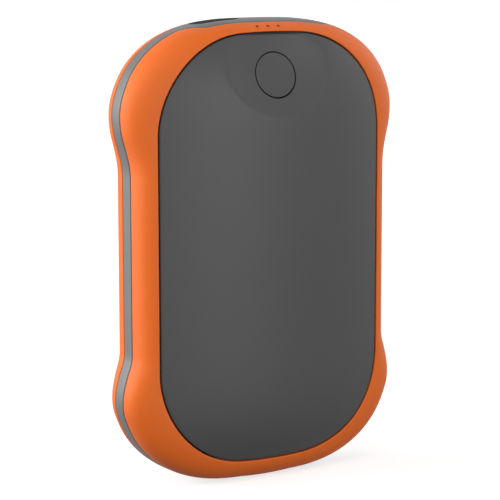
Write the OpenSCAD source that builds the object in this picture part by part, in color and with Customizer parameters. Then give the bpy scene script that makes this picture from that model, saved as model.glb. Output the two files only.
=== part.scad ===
// Rechargeable hand warmer: two domed heat panels in soft frames on either side of a waisted mid frame.
// Millimetres. X is the width, the front panel faces -Y, +Z is up, the origin is the middle of the base.

/* [Body] */
// Room between the battery cells and the outside of a panel's crown
crown_room = 5; // [4.8:0.1:7]
// Radius of the panels' crown across the width
crown_r = 98; // [90:1:104]
// How far the panels' crown falls away at the top and bottom ends
end_drop = 4.8; // [3:0.1:5]
// Power of the fall at the ends: a high one keeps the middle flat
end_power = 8; // [6:1:10]

/* [Outline] */
// Width of a heat panel
panel_w = 64.7; // [64.2:0.1:71]
// Height of a heat panel beyond the length of a battery cell
board_room = 44; // [43.5:0.1:50]
// Radius of a panel's corners
corner_r = 25; // [22:0.5:27]
// Radius of a panel's arched ends
end_r = 146; // [110:1:220]
// Width of the soft rim beside the panel, at the waist
side_rim = 4.45; // [4:0.05:6]
// Width of the soft rim over the panel's top end
top_rim = 3.6; // [3.2:0.1:4.6]
// Width of the soft rim under the panel's bottom end
bottom_rim = 5.9; // [4:0.1:7.5]
// Extra rim width where the upper corners bulge
top_swell = 3.9; // [1:0.1:5]
// Extra rim width where the lower corners bulge
bottom_swell = 4.4; // [1:0.1:5]
// Run below the upper corner over which its bulge begins
top_flare_start = 10.5; // [6:0.5:14]
// Run past the start of the upper corner where its bulge is full
top_flare_end = 8; // [4:0.5:9]
// Run past the start of the upper corner where its bulge starts to fade
top_taper_start = 14; // [10:0.5:16]
// Run past the start of the upper corner where its bulge ends
top_taper_end = 36; // [32:0.5:42]
// Run above the lower corner over which its bulge begins
bottom_flare_start = 4.5; // [3:0.5:10]
// Run past the start of the lower corner where its bulge is full
bottom_flare_end = 9; // [6:0.5:12]
// Run past the start of the lower corner where its bulge starts to fade
bottom_taper_start = 14; // [12:0.5:20]
// Run past the start of the lower corner where its bulge ends
bottom_taper_end = 40; // [34:0.5:44]
// Run past a corner's start where the rim starts to take the end's width
end_blend_start = 5; // [2:0.5:10]

/* [Soft frames] */
// Gap between a panel and its soft frame
groove = 0.4; // [0.3:0.05:0.6]
// Thickness of the soft skin
skin_t = 2; // [1.6:0.1:2.1]
// Gap between a soft frame and the mid frame
seam_gap = 0.15; // [0.1:0.05:0.3]
// Power of the section in depth: a high one makes a square shoulder
depth_power = 3.3; // [2.6:0.1:4.4]
// Power of the section in depth over the top end: a low one makes a slope
top_power = 2; // [1.8:0.1:2.8]
// Power of the section in width
width_power = 1.3; // [1:0.1:2]

/* [Mid frame] */
// Width of the hard band that shows between the soft frames
band_w = 3.2; // [2.6:0.1:3.6]
// Depth of the widened cap at the top
cap_d = 11; // [10.4:0.1:11.4]
// Width of the cap with both shoulders
cap_w = 42; // [40:0.5:46]
// Width of the cap between its shoulders
cap_flat = 31; // [28:0.5:34]
// How far the frames reach in past the panel's edge
flange_in = 3; // [2.6:0.1:3.2]

/* [Panels] */
// Thickness of a panel
panel_t = 1.5; // [1.2:0.1:1.7]
// Height of a panel's skirt at the waist
skirt_h = 1.9; // [1.7:0.1:2.1]
// Thickness of a panel's skirt
skirt_t = 1.4; // [1:0.1:1.6]
// Size of the eased edge round a panel
edge_ease = 0.35; // [0.2:0.05:0.5]
// Thickness of the adhesive under a panel's skirt
adhesive_t = 0.2; // [0.1:0.05:0.3]

/* [Thumb scoop and button] */
// Radius of the thumb scoop's hollow
scoop_r = 60; // [56:1:75]
// How far the button's face lies below the panel's crown
scoop_sink = 3.05; // [2.6:0.05:3.2]
// Lean of the button's face, upwards
button_tilt = 15; // [12:0.5:17]
// Distance from the panel's top edge down to the button's middle
button_from_top = 10.45; // [10:0.05:11.6]
// Radius of the power button
button_r = 5.7; // [5:0.05:6.1]
// Gap round the power button
button_gap = 0.3; // [0.15:0.05:0.3]
// Depth of the button's cap
button_h = 2.4; // [2.3:0.05:2.5]
// Thickness of the button's flange
button_flange_t = 0.8; // [0.6:0.05:0.9]
// How far the flange reaches past the cap
button_flange_w = 1; // [0.7:0.05:1.1]
// How far the button can be pressed
button_travel = 0.25; // [0.2:0.05:0.3]

/* [Port] */
// Distance from the middle of the cap to the middle of the port
port_x = 12; // [11.4:0.1:12.6]
// Length of the port cover
cover_w = 13.2; // [12.6:0.1:13.8]
// Depth of the port cover
cover_d = 5.8; // [5.4:0.1:6.4]
// Thickness of the port cover
cover_t = 1.2; // [1.1:0.05:1.4]
// Radius of the port cover's hinge bead
bead_r = 0.42; // [0.35:0.01:0.5]

/* [Lights] */
// Distance from the middle of one light hole to the next
led_pitch = 3.1; // [2.6:0.1:3.6]
// Distance of the middle light hole from the middle of the body
led_shift = 0.7; // [0:0.1:1]
// Depth of the light holes behind the edge of the panel's crown
led_inset = 1.4; // [1.2:0.1:1.9]

/* [Battery] */
// Radius of a battery cell
cell_r = 9.2; // [9:0.05:9.3]
// Length of a battery cell
cell_len = 65; // [60:0.5:66]
// Distance between the middles of two cells
cell_pitch = 18.6; // [18.6:0.05:18.8]

/* [Hidden] */
$fn = 64;

// Overrun of every cut
overrun = 1;
// Clearance between fixed pieces
fit_gap = 0.05;
// Clearance round small pieces that are set in loosely
loose_gap = 0.15;
// Clearance between a soft skin and its chassis
core_gap = 0.1;

// Outline of the panel: a straight side, a corner arc and a shallow end arc in each quarter
half_w = panel_w / 2;
panel_h = cell_len + board_room;
half_h = panel_h / 2;
mid_z = bottom_rim + half_h;
body_h = bottom_rim + panel_h + top_rim;
body_d = 2 * (cell_r + crown_room);
corner_x = half_w - corner_r;
arch_angle = asin(corner_x / (end_r - corner_r));
corner_z = half_h - end_r + (end_r - corner_r) * cos(arch_angle);
corner_run = corner_r * (90 - arch_angle) * PI / 180;
edge_run = corner_run + end_r * arch_angle * PI / 180;

// Stations round the outline in each quarter
waist_steps = 3;
curve_steps = 22;
quarter_steps = waist_steps + curve_steps;
station_count = 4 * quarter_steps;
// Points on the outside of a soft frame's section
bumper_steps = 8;

function mix(a, b, t) = a + (b - a) * t;
function ease(t) = let (c = max(0, min(1, t))) c * c * (3 - 2 * c);

// Direction of the outline's outward normal at a run past the corner's start, negative on the straight side
function edge_angle(run) =
    run <= 0 ? 0
    : run < corner_run ? run / corner_r * 180 / PI
    : 90 - arch_angle + (run - corner_run) / end_r * 180 / PI;

function edge_point(run) = let (a = edge_angle(run))
    run <= 0 ? [half_w, corner_z + run]
    : run < corner_run ? [corner_x + corner_r * cos(a), corner_z + corner_r * sin(a)]
    : [end_r * cos(a), half_h - end_r + end_r * sin(a)];

// Width of the rim: even along the waist, with a bulge that rises before the corner and fades past it
function bulge(run, swell, flare_start, flare_end, taper_start, taper_end) =
    swell * ease((run + flare_start) / (flare_start + flare_end))
    * (1 - ease((run - taper_start) / (taper_end - taper_start)));

// Share of a corner's way to the middle of the end that is done at a run
function end_share(run) = ease((run - end_blend_start) / (edge_run - end_blend_start));

function rim(run, upper) =
    mix(side_rim, upper ? top_rim : bottom_rim, end_share(run))
    + (upper ? bulge(run, top_swell, top_flare_start, top_flare_end, top_taper_start, top_taper_end)
        : bulge(run, bottom_swell, bottom_flare_start, bottom_flare_end, bottom_taper_start, bottom_taper_end));

function station_run(i) = i < waist_steps
    ? mix(-corner_z, -top_flare_start, i / waist_steps)
    : mix(-top_flare_start, edge_run, (i - waist_steps) / curve_steps);

// A station is [x, z, normal x, normal z, rim width, power of the section in depth]
function edge_station(run, side, upper) = let (a = edge_angle(run), p = edge_point(run)) [
    side * p[0], mid_z + (upper ? p[1] : -p[1]), side * cos(a), (upper ? 1 : -1) * sin(a), rim(run, upper),
    upper ? mix(depth_power, top_power, end_share(run)) : depth_power];

function station(k) =
    let (quarter = floor(k / quarter_steps), j = k % quarter_steps)
    edge_station(
        station_run(quarter % 2 == 0 ? j : quarter_steps - j),
        quarter == 1 || quarter == 2 ? -1 : 1,
        quarter < 2);

stations = [for (k = [0 : station_count - 1]) station(k)];

// A point at an offset from the panel's edge, in X and Z
function beside(st, offset) = [st[0] + st[2] * offset, st[1] + st[3] * offset];

// Depth of the domed face from the middle plane
function dome(x, z) =
    body_d / 2 - crown_r + sqrt(crown_r * crown_r - x * x)
    - end_drop * pow(abs(z - mid_z) / half_h, end_power);
function edge_depth(st) = dome(st[0], st[1]);

// Offset of the soft frame's outside at a depth
function skin_offset(st, depth) =
    groove + (st[4] - groove) * pow(1 - pow(depth / edge_depth(st), st[5]), 1 / width_power);

// Half the depth of the mid frame: the band, or the cap between its two shoulders
function seam(st) = mix(
    band_w / 2, cap_d / 2,
    st[1] > mid_z ? 1 - ease((abs(st[0]) - cap_flat / 2) / (cap_w / 2 - cap_flat / 2)) : 0);

// Level of the chassis ledges that carry the panels
ledge_y = dome(half_w, mid_z) - skirt_h - adhesive_t;
skirt_y = ledge_y + adhesive_t;

// Solid swept round the outline: sections[k] is a closed loop of [offset, depth]
module ring_solid(sections) {
    m = len(sections[0]);
    points = [for (k = [0 : station_count - 1]) for (q = sections[k])
        let (p = beside(stations[k], q[0])) [p[0], -q[1], p[1]]];
    faces = [for (k = [0 : station_count - 1]) for (j = [0 : m - 1])
        let (n = (k + 1) % station_count, i = (j + 1) % m)
        each [[k * m + j, k * m + i, n * m + i], [k * m + j, n * m + i, n * m + j]]];
    polyhedron(points, faces);
}

// Closed solid from profiles that run from a front pole over the edge to a back pole: rows[k] is a list of [x, depth, z]
module poled_solid(rows, front_pole, back_pole) {
    m = len(rows[0]);
    last = station_count * m;
    points = concat([for (row = rows) for (p = row) [p[0], -p[1], p[2]]], [front_pole, back_pole]);
    faces = [for (k = [0 : station_count - 1]) let (n = (k + 1) % station_count)
        each concat(
            [for (j = [0 : m - 2]) each
                [[k * m + j, n * m + j, n * m + j + 1], [k * m + j, n * m + j + 1, k * m + j + 1]]],
            [[last, n * m, k * m], [last + 1, k * m + m - 1, n * m + m - 1]])];
    polyhedron(points, faces);
}

// Extrusion of an outline in X and Z from one depth in front of the middle plane to another
module forward(from, to) {
    translate([0, -from, 0]) rotate([90, 0, 0]) linear_extrude(to - from) children();
}

module to_rear() {
    mirror([0, 1, 0]) children();
}

// Outline at an offset from the panel's edge, or inside the soft skin
module edge_outline(offset) {
    polygon([for (st = stations) beside(st, offset)]);
}

module core_outline() {
    polygon([for (st = stations) beside(st, st[4] - skin_t - core_gap)]);
}

// Rounded slot shape, its length along X
module pill(length, width) {
    square([length - width, width], center = true);
    for (side = [-1, 1]) translate([side * (length - width) / 2, 0]) circle(d = width);
}

// Housing screws: three on each side, set in from the panel's edge
screw_r = 1;
screw_head_r = 1.9;
screw_head_h = 1.3;
screw_len = 10;
screw_inset = 0.4;
screw_run = 8;
screw_sink = 0.1;
screw_stations = [for (side = [-1, 1]) each [
    edge_station(screw_run, side, true),
    edge_station(-corner_z, side, true),
    edge_station(screw_run, side, false)]];

module at_screws() {
    for (st = screw_stations) let (p = beside(st, -screw_inset))
        translate([p[0], ledge_y - screw_sink, p[1]]) rotate([90, 0, 0]) children();
}

// Frame of the power button: +Z leaves the button's face
button_z = mid_z + half_h - button_from_top;
button_y = dome(0, button_z) - scoop_sink;

module at_button() {
    translate([0, -button_y, button_z]) rotate([90 - button_tilt, 0, 0]) children();
}

// Light holes in the top of the front soft frame
led_r = 0.34;
led_count = 3;
led_depth = dome(0, mid_z + half_h) - led_inset;
led_lean = 58;
led_recess = 0.3;
led_hole_gap = 0.08;
led_z = body_h - top_rim + skin_offset(edge_station(edge_run, 1, true), led_depth);

function led_x(i) = (i - (led_count - 1) / 2) * led_pitch - led_shift;

module at_leds() {
    for (i = [0 : led_count - 1])
        translate([led_x(i), -led_depth, led_z]) rotate([led_lean, 0, 0]) children();
}

// Circuit board, upright behind the button and above the cells, with the charging socket on its back
strip_t = 0.2;
board_t = 1.6;
socket_h = 3.26;
board_back = socket_h / 2;
board_front = board_back + board_t;
board_gap = 0.5;
board_clear = 1.8;
cell_drop = 4.3;
cell_low_z = mid_z - cell_len / 2 - cell_drop;
board_low_z = cell_low_z + cell_len + strip_t + board_clear;
board_from_top = 7.4;
board_high_z = mid_z + half_h - board_from_top;
led_tab_w = 9.4;
led_tab_h = 2.2;
port_tab_w = 10;
port_tab_h = 5.8;
board_screw_x = 23;
board_screw_up = 4.5;
board_screw_z = board_low_z + board_screw_up;
board_screw_r = 0.8;
board_head_r = 1.6;
board_head_h = 1;
mount_r = 2.2;
mount_rib = 2.6;

// Charging socket
socket_w = 8.94;
socket_len = 7.35;
socket_wall = 0.3;
tongue_w = 6.7;
tongue_t = 0.7;
tongue_len = 4.5;
socket_back_t = 1.2;
socket_in = 0.2;
slot_gap = 0.1;

// Port cover in the cap's left half, following the cap's surface
cover_gap = 0.15;
cover_floor_gap = 0.1;
bung_gap = 0.2;
bung_h = 0.9;
bead_gap = 0.06;
bead_w = 3;
bead_out = 0.35;
bead_drop = 0.5;
neck_w = 2.4;
swing_gap = 0.26;
cap_steps = 30;
cap_profile = [for (i = [0 : cap_steps])
    let (st = edge_station(mix(corner_run / 2, edge_run, i / cap_steps), 1, true)) beside(st, st[4])];
port_inner_z = lookup(port_x - cover_w / 2, cap_profile);
port_outer_z = lookup(port_x + cover_w / 2, cap_profile);
port_slope = atan2(port_inner_z - port_outer_z, cover_w);
port_chord_z = (port_inner_z + port_outer_z) / 2;
socket_mouth = cover_t + cover_floor_gap + socket_in;
socket_low = socket_mouth + socket_len;

module at_port() {
    translate([-port_x, 0, port_chord_z]) rotate([0, -port_slope, 0]) children();
}

// Ring of the mid frame, from its outer surface to an offset inside the panel's edge
module band_ring() {
    ring_solid([for (st = stations) let (s = seam(st)) concat(
        [for (i = [-2 : 2]) [skin_offset(st, abs(i) / 2 * s), i / 2 * s]],
        [[-flange_in, s], [-flange_in, -s]])]);
}

// Room within an outline above a depth below the cap's top
module port_prism(below) {
    difference() {
        at_port() translate([0, 0, -2 * cover_t]) linear_extrude(4 * cover_t) children();
        forward(-cap_d, cap_d)
            polygon(concat([for (p = cap_profile) [-p[0], p[1] - below]], [[0, mid_z], [-half_w, mid_z]]));
    }
}

module mid_frame() {
    color("#8f9090") difference() {
        union() {
            band_ring();
            for (side = [-1, 1]) board_mount(side);
        }
        port_cuts();
        guide_pocket();
        at_screws() translate([0, 0, -overrun]) cylinder(r = screw_r + fit_gap, h = screw_len + overrun * 2);
        for (side = [-1, 1]) translate([side * board_screw_x, 0, board_screw_z]) rotate([90, 0, 0])
            cylinder(r = board_screw_r + fit_gap, h = body_d, center = true);
    }
}

// Boss and rib that carry one corner of the circuit board
module board_mount(side) {
    translate([side * board_screw_x, 0, board_screw_z]) {
        rotate([90, 0, 0]) translate([0, 0, -band_w / 2]) cylinder(r = mount_r, h = band_w / 2 + board_back - fit_gap);
        translate([side * (half_w - flange_in - board_screw_x + overrun) / 2, 0, 0])
            cube([half_w - flange_in - board_screw_x + overrun, band_w, mount_rib], center = true);
    }
}

module at_hinge() {
    at_port() translate([cover_w / 2 + bead_out, 0, -bead_drop]) rotate([90, 0, 0]) children();
}

// Recess for the cover, hinge groove, and slots for the socket and for the tab of the board behind it
module port_cuts() {
    at_hinge() cylinder(r = bead_r + bead_gap, h = bead_w + 2 * cover_gap, center = true);
    at_hinge() translate([-bead_out - overrun, 0, -bead_w / 2 - cover_gap])
        cube([bead_out + overrun + bead_r + swing_gap, bead_drop + overrun, bead_w + 2 * cover_gap]);
    at_hinge() translate([-bead_out - overrun, -bead_r - bead_gap, -neck_w / 2 - cover_gap])
        cube([bead_out + overrun, bead_r + bead_gap + bead_drop, neck_w + 2 * cover_gap]);
    port_prism(cover_t + cover_floor_gap) pill(cover_w + 2 * cover_gap, cover_d + 2 * cover_gap);
    at_port() translate([0, 0, -socket_low - overrun]) linear_extrude(socket_low + overrun)
        pill(socket_w + 2 * slot_gap, socket_h + 2 * slot_gap);
    translate([-port_x - port_tab_w / 2 - loose_gap, -board_front - loose_gap, board_high_z])
        cube([port_tab_w + 2 * loose_gap, board_t + 2 * loose_gap, port_tab_h + loose_gap]);
}

// Front bumper's light guide: a bar behind the chassis with a pin to each hole
guide_t = 1;
guide_ends = 2.6;
guide_foot = 0.3;
guide_w = led_pitch * (led_count - 1) + guide_ends;
guide_y = cap_d / 2 - fit_gap;
led_pin_len = (led_depth - guide_y + guide_t / 2) / sin(led_lean);
guide_top_z = led_z - cos(led_lean) * led_pin_len + led_r / sin(led_lean) + loose_gap;
guide_low_z = board_high_z + guide_foot;

module guide_pocket() {
    translate([-led_shift - guide_w / 2 - fit_gap, -cap_d / 2 - overrun, guide_low_z])
        cube([guide_w + 2 * fit_gap, guide_t + 2 * fit_gap + overrun, guide_top_z + loose_gap - guide_low_z]);
}

module light_guide() {
    color("#e8e8e8") {
        translate([-led_shift - guide_w / 2, -guide_y, guide_low_z])
            cube([guide_w, guide_t, guide_top_z - guide_low_z]);
        at_leds() translate([0, 0, -led_pin_len]) cylinder(r = led_r, h = led_pin_len - led_recess);
    }
}

module chassis() {
    difference() {
        forward(band_w / 2, ledge_y) difference() {
            core_outline();
            edge_outline(-flange_in);
        }
        translate([-cap_w / 2 - flange_in, -cap_d / 2 - loose_gap, mid_z + corner_z + corner_r / 2])
            cube([cap_w + 2 * flange_in, cap_d / 2 + loose_gap, half_h]);
    }
}

module front_chassis() {
    color("#3a3a3c") difference() {
        chassis();
        at_screws() cylinder(r = screw_r + fit_gap, h = screw_head_h + screw_len + loose_gap);
        at_leds() translate([0, 0, -led_pin_len]) cylinder(r = led_r + led_hole_gap, h = led_pin_len);
    }
}

module rear_chassis() {
    color("#3a3a3c") difference() {
        to_rear() chassis();
        at_screws() translate([0, 0, -overrun]) {
            cylinder(r = screw_head_r + fit_gap, h = screw_head_h + overrun);
            cylinder(r = screw_r + fit_gap, h = screw_len + overrun);
        }
    }
}

module bumper() {
    sections = [for (st = stations)
        let (e = edge_depth(st), low = seam(st) + seam_gap, start = asin(pow(low / e, st[5] / 2)))
        concat(
            [for (i = [0 : bumper_steps]) let (a = mix(start, 90, i / bumper_steps))
                [groove + (st[4] - groove) * pow(cos(a), 2 / width_power), e * pow(sin(a), 2 / st[5])]],
            [[groove, ledge_y + fit_gap], [st[4] - skin_t, ledge_y + fit_gap], [st[4] - skin_t, low]])];
    ring_solid(sections);
}

module front_bumper() {
    color("#e16e3a") difference() {
        bumper();
        at_leds() cylinder(r = led_r + led_hole_gap, h = 2 * led_pin_len, center = true);
    }
}

module rear_bumper() {
    color("#e16e3a") to_rear() bumper();
}

// Rings of a panel's two faces, as shares of the way from its middle to its edge
outer_shares = [0.25, 0.5, 0.68, 0.8, 0.88, 0.94];
inner_shares = [0.86, 0.74, 0.5, 0.25];

function inward(st, share) = [st[0] * share, mid_z + (st[1] - mid_z) * share];

module panel() {
    rows = [for (st = stations) let (eased = beside(st, -edge_ease), inside = beside(st, -skirt_t)) concat(
        [for (s = outer_shares) let (p = inward(st, s)) [p[0], dome(p[0], p[1]), p[1]]],
        [
            [eased[0], dome(eased[0], eased[1]), eased[1]],
            [st[0], edge_depth(st) - edge_ease, st[1]],
            [st[0], skirt_y, st[1]],
            [inside[0], skirt_y, inside[1]],
            [inside[0], dome(inside[0], inside[1]) - panel_t, inside[1]]
        ],
        [for (s = inner_shares) let (p = inward(st, s)) [p[0], dome(p[0], p[1]) - panel_t, p[1]]])];
    poled_solid(rows, [0, -dome(0, mid_z), mid_z], [0, panel_t - dome(0, mid_z), mid_z]);
}

// Region behind the thumb scoop that is thickened from the inside
backing_r = 13;
backing_up = 3;

module front_panel() {
    color("#5a5a5a") difference() {
        union() {
            panel();
            intersection() {
                at_button() translate([0, 0, scoop_r]) sphere(scoop_r + panel_t, $fn = 180);
                translate([0, 0, button_z + backing_up]) rotate([90, 0, 0]) cylinder(r = backing_r, h = body_d / 2);
                forward(ledge_y, body_d / 2) edge_outline(-skirt_t / 2);
            }
        }
        at_button() {
            translate([0, 0, scoop_r]) sphere(scoop_r, $fn = 180);
            cylinder(r = button_r + button_gap, h = body_d / 2, center = true);
        }
    }
}

module rear_panel() {
    color("#5a5a5a") to_rear() panel();
}

module adhesive() {
    forward(ledge_y, skirt_y) difference() {
        edge_outline(-fit_gap);
        edge_outline(-skirt_t);
    }
}

module front_adhesive() {
    color("#202022") adhesive();
}

module rear_adhesive() {
    color("#202022") to_rear() adhesive();
}

// Round ball under the button that presses the switch
pin_r = 1.6;
pin_drop = 0.5;

module power_button() {
    color("#5a5a5a") at_button() difference() {
        union() {
            translate([0, 0, -button_h]) cylinder(r = button_r, h = button_h + overrun);
            translate([0, 0, -button_h]) cylinder(r = button_r + button_flange_w, h = button_flange_t);
            translate([0, 0, pin_drop - button_h]) sphere(pin_r);
        }
        translate([0, 0, scoop_r]) sphere(scoop_r, $fn = 180);
    }
}

// Switch under the button: its body fills the room between the board and the plunger's head
switch_w = 6;
plunger_r = 1.75;
plunger_gap = 0.1;
plunger_shaft = 0.5;
plunger_show = 0.45;
pin_y = button_y - (button_h - pin_drop) * cos(button_tilt) - pin_r;
pin_z = button_z - (button_h - pin_drop) * sin(button_tilt);
plunger_y = pin_y - plunger_gap;
switch_h = plunger_y - plunger_show - board_front;
plunger_low = switch_h - plunger_shaft;

module switch_body() {
    color("#26262a") translate([0, -board_front, pin_z]) rotate([90, 0, 0]) difference() {
        translate([-switch_w / 2, -switch_w / 2, 0]) cube([switch_w, switch_w, switch_h]);
        translate([0, 0, plunger_low - button_travel - loose_gap]) cylinder(r = plunger_r + fit_gap, h = switch_h);
    }
}

module switch_plunger() {
    color("#101012") translate([0, -board_front - plunger_low, pin_z]) rotate([90, 0, 0])
        cylinder(r = plunger_r, h = plunger_y - board_front - plunger_low);
}

module circuit_board() {
    color("#1f5b36") difference() {
        forward(board_back, board_front) {
            intersection() {
                edge_outline(-flange_in - board_gap);
                translate([-half_w, board_low_z]) square([panel_w, board_high_z - board_low_z]);
            }
            translate([-led_tab_w / 2, board_high_z - overrun]) square([led_tab_w, led_tab_h + overrun]);
            translate([-port_x - port_tab_w / 2, board_high_z - overrun]) square([port_tab_w, port_tab_h + overrun]);
        }
        for (side = [-1, 1]) translate([side * board_screw_x, 0, board_screw_z]) rotate([90, 0, 0])
            cylinder(r = board_screw_r + loose_gap, h = body_d, center = true);
    }
}

module usb_c_shell() {
    color("#b9bbbd") at_port() translate([0, 0, -socket_low]) difference() {
        linear_extrude(socket_len) pill(socket_w, socket_h);
        translate([0, 0, socket_wall])
            linear_extrude(socket_len) pill(socket_w - 2 * socket_wall, socket_h - 2 * socket_wall);
    }
}

module usb_c_tongue() {
    color("#18181a") at_port() translate([0, 0, socket_wall - socket_low]) {
        linear_extrude(socket_back_t)
            pill(socket_w - 2 * socket_wall - fit_gap, socket_h - 2 * socket_wall - fit_gap);
        translate([-tongue_w / 2, -tongue_t / 2, 0]) cube([tongue_w, tongue_t, socket_back_t + tongue_len]);
    }
}

module port_cover() {
    color("#3f3f42") {
        intersection() {
            port_prism(cover_t) pill(cover_w, cover_d);
            band_ring();
        }
        at_port() translate([0, 0, -cover_t - bung_h]) linear_extrude(bung_h + cover_t / 2)
            pill(socket_w - 2 * socket_wall - 2 * bung_gap, socket_h - 2 * socket_wall - 2 * bung_gap);
        at_hinge() {
            cylinder(r = bead_r, h = bead_w, center = true);
            translate([-bead_out - overrun / 2, -bead_r, -neck_w / 2])
                cube([bead_out + overrun / 2, 2 * bead_r, neck_w]);
        }
    }
}

led_chip = 1.6;
led_chip_t = 0.6;

module led_chips() {
    color("#f2efe0") for (i = [0 : led_count - 1])
        translate([led_x(i) - led_chip / 2, -board_front - led_chip_t, guide_low_z + loose_gap])
            cube([led_chip, led_chip_t, led_chip]);
}

// Parts on the back of the board: [x, height above the board's lower edge, width, height, thickness]
controller_places = [[-9, 7.4, 5, 5, 0.9], [1.5, 12.4, 4, 4, 0.9]];
capacitor_places = [[-4, 5.6, 2, 1.25, 1.25], [-4, 8.1, 2, 1.25, 1.25], [5.5, 14.5, 1.25, 2, 1.25], [-15, 6, 2, 1.25, 1.25]];
inductor_place = [11, 9.5, 7, 7, 3.6];

module on_board_back(place) {
    translate([place[0] - place[2] / 2, -board_back, board_low_z + place[1] - place[3] / 2])
        cube([place[2], place[4], place[3]]);
}

module charge_controller() {
    color("#1c1c1e") for (place = controller_places) on_board_back(place);
}

module board_capacitors() {
    color("#a98f6a") for (place = capacitor_places) on_board_back(place);
}

inductor_core_r = 2.6;
inductor_core_t = 0.4;

module boost_inductor() {
    color("#4a4a4d") {
        on_board_back(inductor_place);
        translate([inductor_place[0], inductor_place[4] - board_back, board_low_z + inductor_place[1]])
            rotate([-90, 0, 0]) cylinder(r = inductor_core_r, h = inductor_core_t);
    }
}

// Flat connectors for the heater tails, one on each face of the board
connector_w = 8;
connector_h = 2.4;
connector_t = 1.1;
connector_up = 2;

module heater_connectors() {
    color("#d8d2c0") for (y = [-board_front - connector_t, -board_back])
        translate([-connector_w / 2, y, board_low_z + connector_up]) cube([connector_w, connector_t, connector_h]);
}

module board_screws() {
    color("#9a9ca0") for (side = [-1, 1])
        translate([side * board_screw_x, 0, board_screw_z]) rotate([90, 0, 0]) {
            translate([0, 0, board_front]) cylinder(r = board_head_r, h = board_head_h);
            translate([0, 0, -band_w / 2]) cylinder(r = board_screw_r, h = band_w / 2 + board_front + overrun / 2);
        }
}

module housing_screws() {
    color("#9a9ca0") at_screws() {
        cylinder(r = screw_head_r, h = screw_head_h);
        cylinder(r = screw_r, h = screw_head_h + screw_len);
    }
}

// Battery: three round cells side by side
terminal_r = 3;
terminal_h = 0.6;

module cell(index) {
    color("#2f6f9f") translate([index * cell_pitch, 0, cell_low_z]) {
        cylinder(r = cell_r, h = cell_len - terminal_h);
        cylinder(r = terminal_r, h = cell_len);
    }
}

module cell_left() {
    cell(-1);
}

module cell_middle() {
    cell(0);
}

module cell_right() {
    cell(1);
}

bracket_h = 8;
bracket_wall = 0.7;
bracket_web = 14;
bracket_lug = 6;
bracket_gap = 0.3;
bracket_from_mid = 17;

module cell_bracket(low_z) {
    color("#d7d7d2") translate([0, 0, low_z]) linear_extrude(bracket_h) difference() {
        union() {
            for (i = [-1 : 1]) translate([i * cell_pitch, 0]) circle(cell_r + bracket_wall);
            square([2 * cell_pitch, bracket_web], center = true);
            square([panel_w - 2 * flange_in - 2 * bracket_gap, bracket_lug], center = true);
        }
        for (i = [-1 : 1]) translate([i * cell_pitch, 0]) circle(cell_r + fit_gap);
    }
}

module upper_cell_bracket() {
    cell_bracket(mid_z + bracket_from_mid);
}

module lower_cell_bracket() {
    cell_bracket(mid_z - bracket_from_mid - bracket_h);
}

strip_w = 8;

module nickel_strips() {
    color("#c9c7bf") for (z = [cell_low_z - strip_t, cell_low_z + cell_len])
        translate([-cell_pitch - terminal_r, -strip_w / 2, z]) cube([2 * (cell_pitch + terminal_r), strip_w, strip_t]);
}

// Leads: a short one from the top strip, and a long one that climbs the valley between two cells
lead_r = 0.6;
lead_y = 8.1;
lead_board_y = -board_back + lead_r + fit_gap;
lead_top_z = board_low_z + lead_r;
lead_low_z = cell_low_z - strip_t - lead_r;
short_lead_x = cell_pitch / 2 + lead_r;

module battery_leads() {
    color("#b02a22") {
        translate([short_lead_x, lead_board_y, cell_low_z + cell_len + strip_t])
            cylinder(r = lead_r, h = board_low_z + connector_up - cell_low_z - cell_len - strip_t);
        translate([-cell_pitch / 2, lead_y, lead_low_z]) {
            cylinder(r = lead_r, h = lead_top_z - lead_low_z);
            sphere(lead_r);
            rotate([90, 0, 0]) cylinder(r = lead_r, h = lead_y);
        }
        translate([-cell_pitch / 2, lead_y, lead_top_z]) {
            sphere(lead_r);
            rotate([90, 0, 0]) cylinder(r = lead_r, h = lead_y - lead_board_y);
        }
    }
}

// Heater films: bonded under the crown of each panel, with a tail up to the board
film_t = 0.3;
film_gap = 0.25;
film_w = 52;
film_h = 60;
tail_w = 6;
film_y = body_d / 2 - panel_t - film_gap;
film_r = crown_r - panel_t - film_gap;

module heater(board_y) {
    tail_low = [film_y - film_t, mid_z + film_h / 2 - film_t];
    tail_high = [board_y, board_low_z + connector_up + connector_h / 2];
    color("#b8763a") {
        intersection() {
            translate([0, film_r - film_y, mid_z - film_h / 2]) difference() {
                cylinder(r = film_r, h = film_h, $fn = 360);
                translate([0, 0, -overrun]) cylinder(r = film_r - film_t, h = film_h + 2 * overrun, $fn = 360);
            }
            translate([-film_w / 2, -body_d / 2, 0]) cube([film_w, body_d / 2, body_h]);
        }
        translate([-tail_w / 2, -tail_low[0], tail_low[1]])
            rotate([atan2(tail_high[1] - tail_low[1], tail_low[0] - tail_high[0]), 0, 0])
            cube([tail_w, norm(tail_high - tail_low), film_t]);
    }
}

module front_heater() {
    heater(board_front + connector_t + fit_gap);
}

module rear_heater() {
    to_rear() heater(connector_t + fit_gap - board_back);
}

foam_w = 40;
foam_gap = 0.1;

module foam() {
    low_z = mid_z - bracket_from_mid + bracket_gap;
    color("#55565a") intersection() {
        translate([0, film_r - film_y, low_z])
            cylinder(r = film_r - film_t - foam_gap, h = 2 * (bracket_from_mid - bracket_gap), $fn = 360);
        translate([-foam_w / 2, -body_d / 2, 0]) cube([foam_w, body_d / 2 - cell_r - foam_gap, body_h]);
    }
}

module front_foam() {
    foam();
}

module rear_foam() {
    to_rear() foam();
}

thermistor_r = 0.8;
thermistor_len = 3.2;
thermistor_in = 3;

module thermistors() {
    color("#c8b23c") for (side = [-1, 1])
        translate([0, side * (film_y - film_t - fit_gap - thermistor_r), mid_z + film_h / 2 - thermistor_in]) rotate([0, 90, 0])
            cylinder(r = thermistor_r, h = thermistor_len, center = true);
}

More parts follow.
